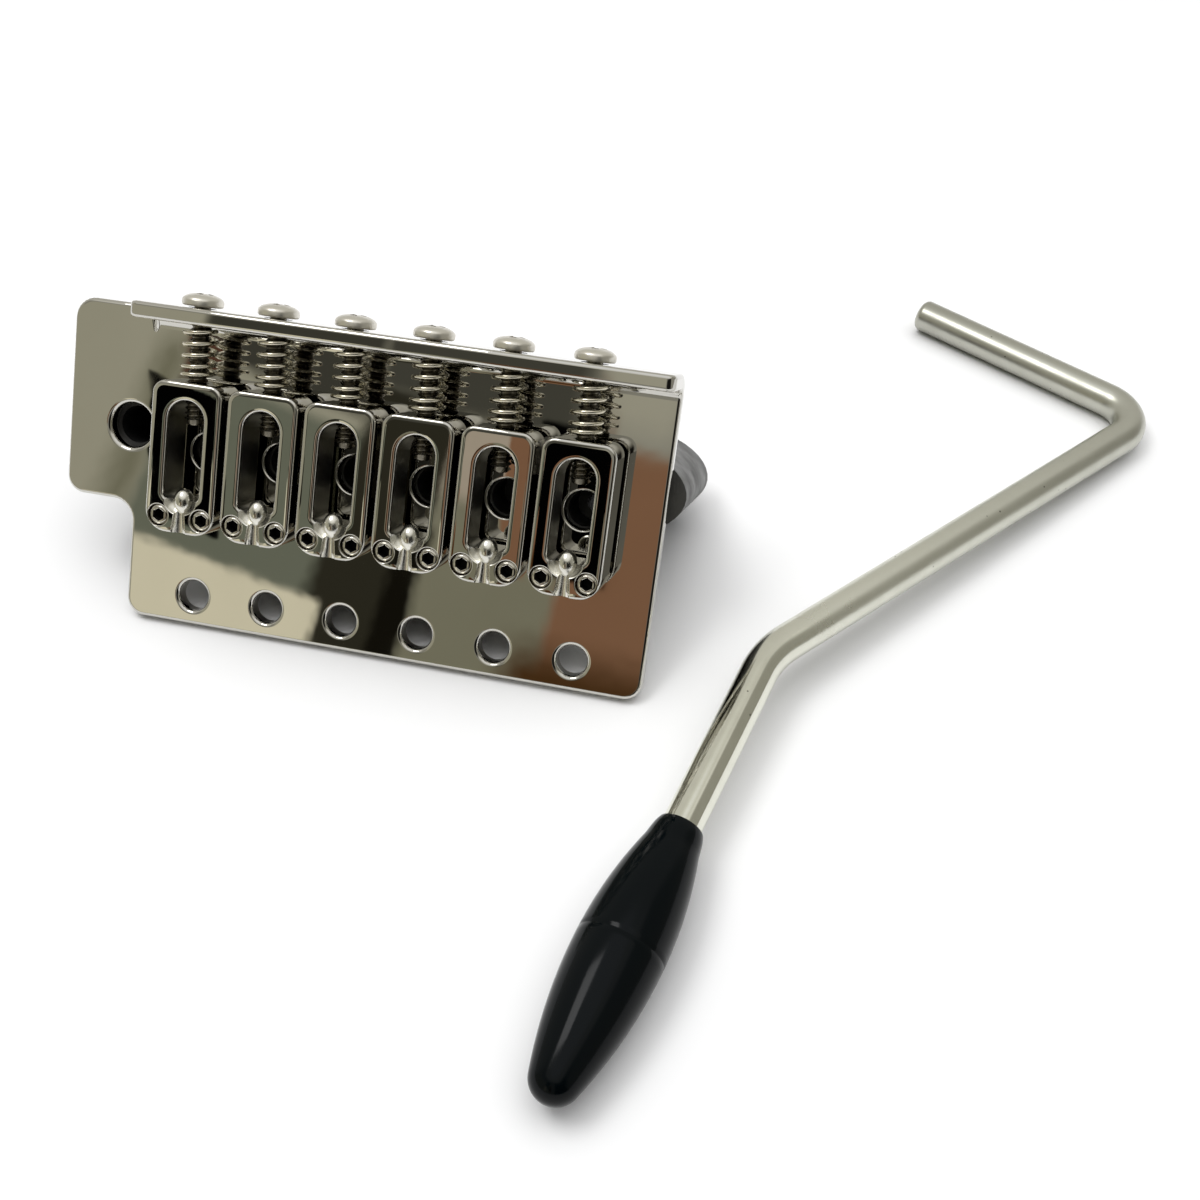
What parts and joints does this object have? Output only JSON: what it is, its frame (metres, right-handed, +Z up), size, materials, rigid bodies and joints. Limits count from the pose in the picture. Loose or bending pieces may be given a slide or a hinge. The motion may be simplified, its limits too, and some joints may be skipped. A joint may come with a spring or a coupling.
{
  "type": "guitar tremolo bridge",
  "caption": "Plate-type guitar tremolo bridge with sliding block saddles on springs and screws, a cast block below and a loose bent arm with a plastic tip.",
  "frame": {"origin": "middle of the row of six pivot holes, on the plate's top face", "axes": "+Z up from the table the bridge leans on, +X along the row of saddles towards the loose arm, +Y from the pivot holes towards the lip as seen from above"},
  "size_m": [0.1545, 0.1494, 0.0421],
  "materials": {
    "plate_chrome": "polished chrome",
    "saddle_chrome": "polished chrome",
    "arm_chrome": "polished chrome",
    "cast_block": "as cast, grey",
    "screw_steel": "satin nickel",
    "spring_steel": "bright wire",
    "grub_steel": "nickel",
    "bush_nylon": "natural nylon",
    "tip_plastic": "gloss black"
  },
  "bodies": {
    "bridge": {"base_plate": "plate_chrome", "tremolo_block": "cast_block", "block_screws": "screw_steel", "arm_bush": "bush_nylon"},
    "carrier_1": {"intonation_spring_1": "spring_steel"},
    "saddle_body_1": {"saddle_1": "saddle_chrome"},
    "screw_body_1": {"intonation_screw_1": "screw_steel"},
    "feet_1": {"height_screw_1_left": "grub_steel", "height_screw_1_right": "grub_steel"},
    "carrier_2": {"intonation_spring_2": "spring_steel"},
    "saddle_body_2": {"saddle_2": "saddle_chrome"},
    "screw_body_2": {"intonation_screw_2": "screw_steel"},
    "feet_2": {"height_screw_2_left": "grub_steel", "height_screw_2_right": "grub_steel"},
    "carrier_3": {"intonation_spring_3": "spring_steel"},
    "saddle_body_3": {"saddle_3": "saddle_chrome"},
    "screw_body_3": {"intonation_screw_3": "screw_steel"},
    "feet_3": {"height_screw_3_left": "grub_steel", "height_screw_3_right": "grub_steel"},
    "carrier_4": {"intonation_spring_4": "spring_steel"},
    "saddle_body_4": {"saddle_4": "saddle_chrome"},
    "screw_body_4": {"intonation_screw_4": "screw_steel"},
    "feet_4": {"height_screw_4_left": "grub_steel", "height_screw_4_right": "grub_steel"},
    "carrier_5": {"intonation_spring_5": "spring_steel"},
    "saddle_body_5": {"saddle_5": "saddle_chrome"},
    "screw_body_5": {"intonation_screw_5": "screw_steel"},
    "feet_5": {"height_screw_5_left": "grub_steel", "height_screw_5_right": "grub_steel"},
    "carrier_6": {"intonation_spring_6": "spring_steel"},
    "saddle_body_6": {"saddle_6": "saddle_chrome"},
    "screw_body_6": {"intonation_screw_6": "screw_steel"},
    "feet_6": {"height_screw_6_left": "grub_steel", "height_screw_6_right": "grub_steel"},
    "arm": {"arm_rod": "arm_chrome", "arm_tip": "tip_plastic"}
  },
  "joints": [
    {"name": "saddle_1_tilt", "type": "hinge", "parent": "bridge", "child": "carrier_1", "pos_m": [-0.027, 0.02106, 0.03417], "axis": [-1, 0, 0], "range_deg": [-3, 3]},
    {"name": "saddle_1_slide", "type": "slide", "parent": "carrier_1", "child": "saddle_body_1", "axis": [0, 0.6305, 0.7762], "range_m": [-0.0025, 0.0025], "deforming": ["intonation_spring_1"]},
    {"name": "screw_1_turn", "type": "hinge", "parent": "carrier_1", "child": "screw_body_1", "pos_m": [-0.027, 0.02106, 0.03417], "axis": [0, 0.6305, 0.7762], "range_deg": [-1290.71, 1290.71]},
    {"name": "height_1_travel", "type": "slide", "parent": "saddle_body_1", "child": "feet_1", "axis": [0, 0.7762, -0.6305], "range_m": [-0.00147, 0.00147]},
    {"name": "saddle_2_tilt", "type": "hinge", "parent": "bridge", "child": "carrier_2", "pos_m": [-0.0162, 0.02106, 0.03417], "axis": [-1, 0, 0], "range_deg": [-3, 3]},
    {"name": "saddle_2_slide", "type": "slide", "parent": "carrier_2", "child": "saddle_body_2", "axis": [0, 0.6305, 0.7762], "range_m": [-0.0025, 0.0025], "deforming": ["intonation_spring_2"]},
    {"name": "screw_2_turn", "type": "hinge", "parent": "carrier_2", "child": "screw_body_2", "pos_m": [-0.0162, 0.02106, 0.03417], "axis": [0, 0.6305, 0.7762], "range_deg": [-1290.71, 1290.71]},
    {"name": "height_2_travel", "type": "slide", "parent": "saddle_body_2", "child": "feet_2", "axis": [0, 0.7762, -0.6305], "range_m": [-0.00147, 0.00147]},
    {"name": "saddle_3_tilt", "type": "hinge", "parent": "bridge", "child": "carrier_3", "pos_m": [-0.0054, 0.02106, 0.03417], "axis": [-1, 0, 0], "range_deg": [-3, 3]},
    {"name": "saddle_3_slide", "type": "slide", "parent": "carrier_3", "child": "saddle_body_3", "axis": [0, 0.6305, 0.7762], "range_m": [-0.0025, 0.0025], "deforming": ["intonation_spring_3"]},
    {"name": "screw_3_turn", "type": "hinge", "parent": "carrier_3", "child": "screw_body_3", "pos_m": [-0.0054, 0.02106, 0.03417], "axis": [0, 0.6305, 0.7762], "range_deg": [-1290.71, 1290.71]},
    {"name": "height_3_travel", "type": "slide", "parent": "saddle_body_3", "child": "feet_3", "axis": [0, 0.7762, -0.6305], "range_m": [-0.00147, 0.00147]},
    {"name": "saddle_4_tilt", "type": "hinge", "parent": "bridge", "child": "carrier_4", "pos_m": [0.0054, 0.02106, 0.03417], "axis": [-1, 0, 0], "range_deg": [-3, 3]},
    {"name": "saddle_4_slide", "type": "slide", "parent": "carrier_4", "child": "saddle_body_4", "axis": [0, 0.6305, 0.7762], "range_m": [-0.0025, 0.0025], "deforming": ["intonation_spring_4"]},
    {"name": "screw_4_turn", "type": "hinge", "parent": "carrier_4", "child": "screw_body_4", "pos_m": [0.0054, 0.02106, 0.03417], "axis": [0, 0.6305, 0.7762], "range_deg": [-1290.71, 1290.71]},
    {"name": "height_4_travel", "type": "slide", "parent": "saddle_body_4", "child": "feet_4", "axis": [0, 0.7762, -0.6305], "range_m": [-0.00147, 0.00147]},
    {"name": "saddle_5_tilt", "type": "hinge", "parent": "bridge", "child": "carrier_5", "pos_m": [0.0162, 0.02106, 0.03417], "axis": [-1, 0, 0], "range_deg": [-3, 3]},
    {"name": "saddle_5_slide", "type": "slide", "parent": "carrier_5", "child": "saddle_body_5", "axis": [0, 0.6305, 0.7762], "range_m": [-0.0025, 0.0025], "deforming": ["intonation_spring_5"]},
    {"name": "screw_5_turn", "type": "hinge", "parent": "carrier_5", "child": "screw_body_5", "pos_m": [0.0162, 0.02106, 0.03417], "axis": [0, 0.6305, 0.7762], "range_deg": [-1290.71, 1290.71]},
    {"name": "height_5_travel", "type": "slide", "parent": "saddle_body_5", "child": "feet_5", "axis": [0, 0.7762, -0.6305], "range_m": [-0.00147, 0.00147]},
    {"name": "saddle_6_tilt", "type": "hinge", "parent": "bridge", "child": "carrier_6", "pos_m": [0.027, 0.02106, 0.03417], "axis": [-1, 0, 0], "range_deg": [-3, 3]},
    {"name": "saddle_6_slide", "type": "slide", "parent": "carrier_6", "child": "saddle_body_6", "axis": [0, 0.6305, 0.7762], "range_m": [-0.0025, 0.0025], "deforming": ["intonation_spring_6"]},
    {"name": "screw_6_turn", "type": "hinge", "parent": "carrier_6", "child": "screw_body_6", "pos_m": [0.027, 0.02106, 0.03417], "axis": [0, 0.6305, 0.7762], "range_deg": [-1290.71, 1290.71]},
    {"name": "height_6_travel", "type": "slide", "parent": "saddle_body_6", "child": "feet_6", "axis": [0, 0.7762, -0.6305], "range_m": [-0.00147, 0.00147]},
    {"name": "arm_swing", "type": "hinge", "parent": "bridge", "child": "arm", "pos_m": [0.0689, 0.087, -0.00188], "axis": [-0.8934, 0.4493, 0], "range_deg": [0, 165]}
  ],
  "couplings": [
    {"joint": "screw_1_turn", "follows": "saddle_1_slide", "rad_per_m": 8976},
    {"joint": "height_1_travel", "follows": "saddle_1_tilt", "m_per_rad": 0.0272},
    {"joint": "screw_2_turn", "follows": "saddle_2_slide", "rad_per_m": 8976},
    {"joint": "height_2_travel", "follows": "saddle_2_tilt", "m_per_rad": 0.0272},
    {"joint": "screw_3_turn", "follows": "saddle_3_slide", "rad_per_m": 8976},
    {"joint": "height_3_travel", "follows": "saddle_3_tilt", "m_per_rad": 0.0272},
    {"joint": "screw_4_turn", "follows": "saddle_4_slide", "rad_per_m": 8976},
    {"joint": "height_4_travel", "follows": "saddle_4_tilt", "m_per_rad": 0.0272},
    {"joint": "screw_5_turn", "follows": "saddle_5_slide", "rad_per_m": 8976},
    {"joint": "height_5_travel", "follows": "saddle_5_tilt", "m_per_rad": 0.0272},
    {"joint": "screw_6_turn", "follows": "saddle_6_slide", "rad_per_m": 8976},
    {"joint": "height_6_travel", "follows": "saddle_6_tilt", "m_per_rad": 0.0272}
  ]
}
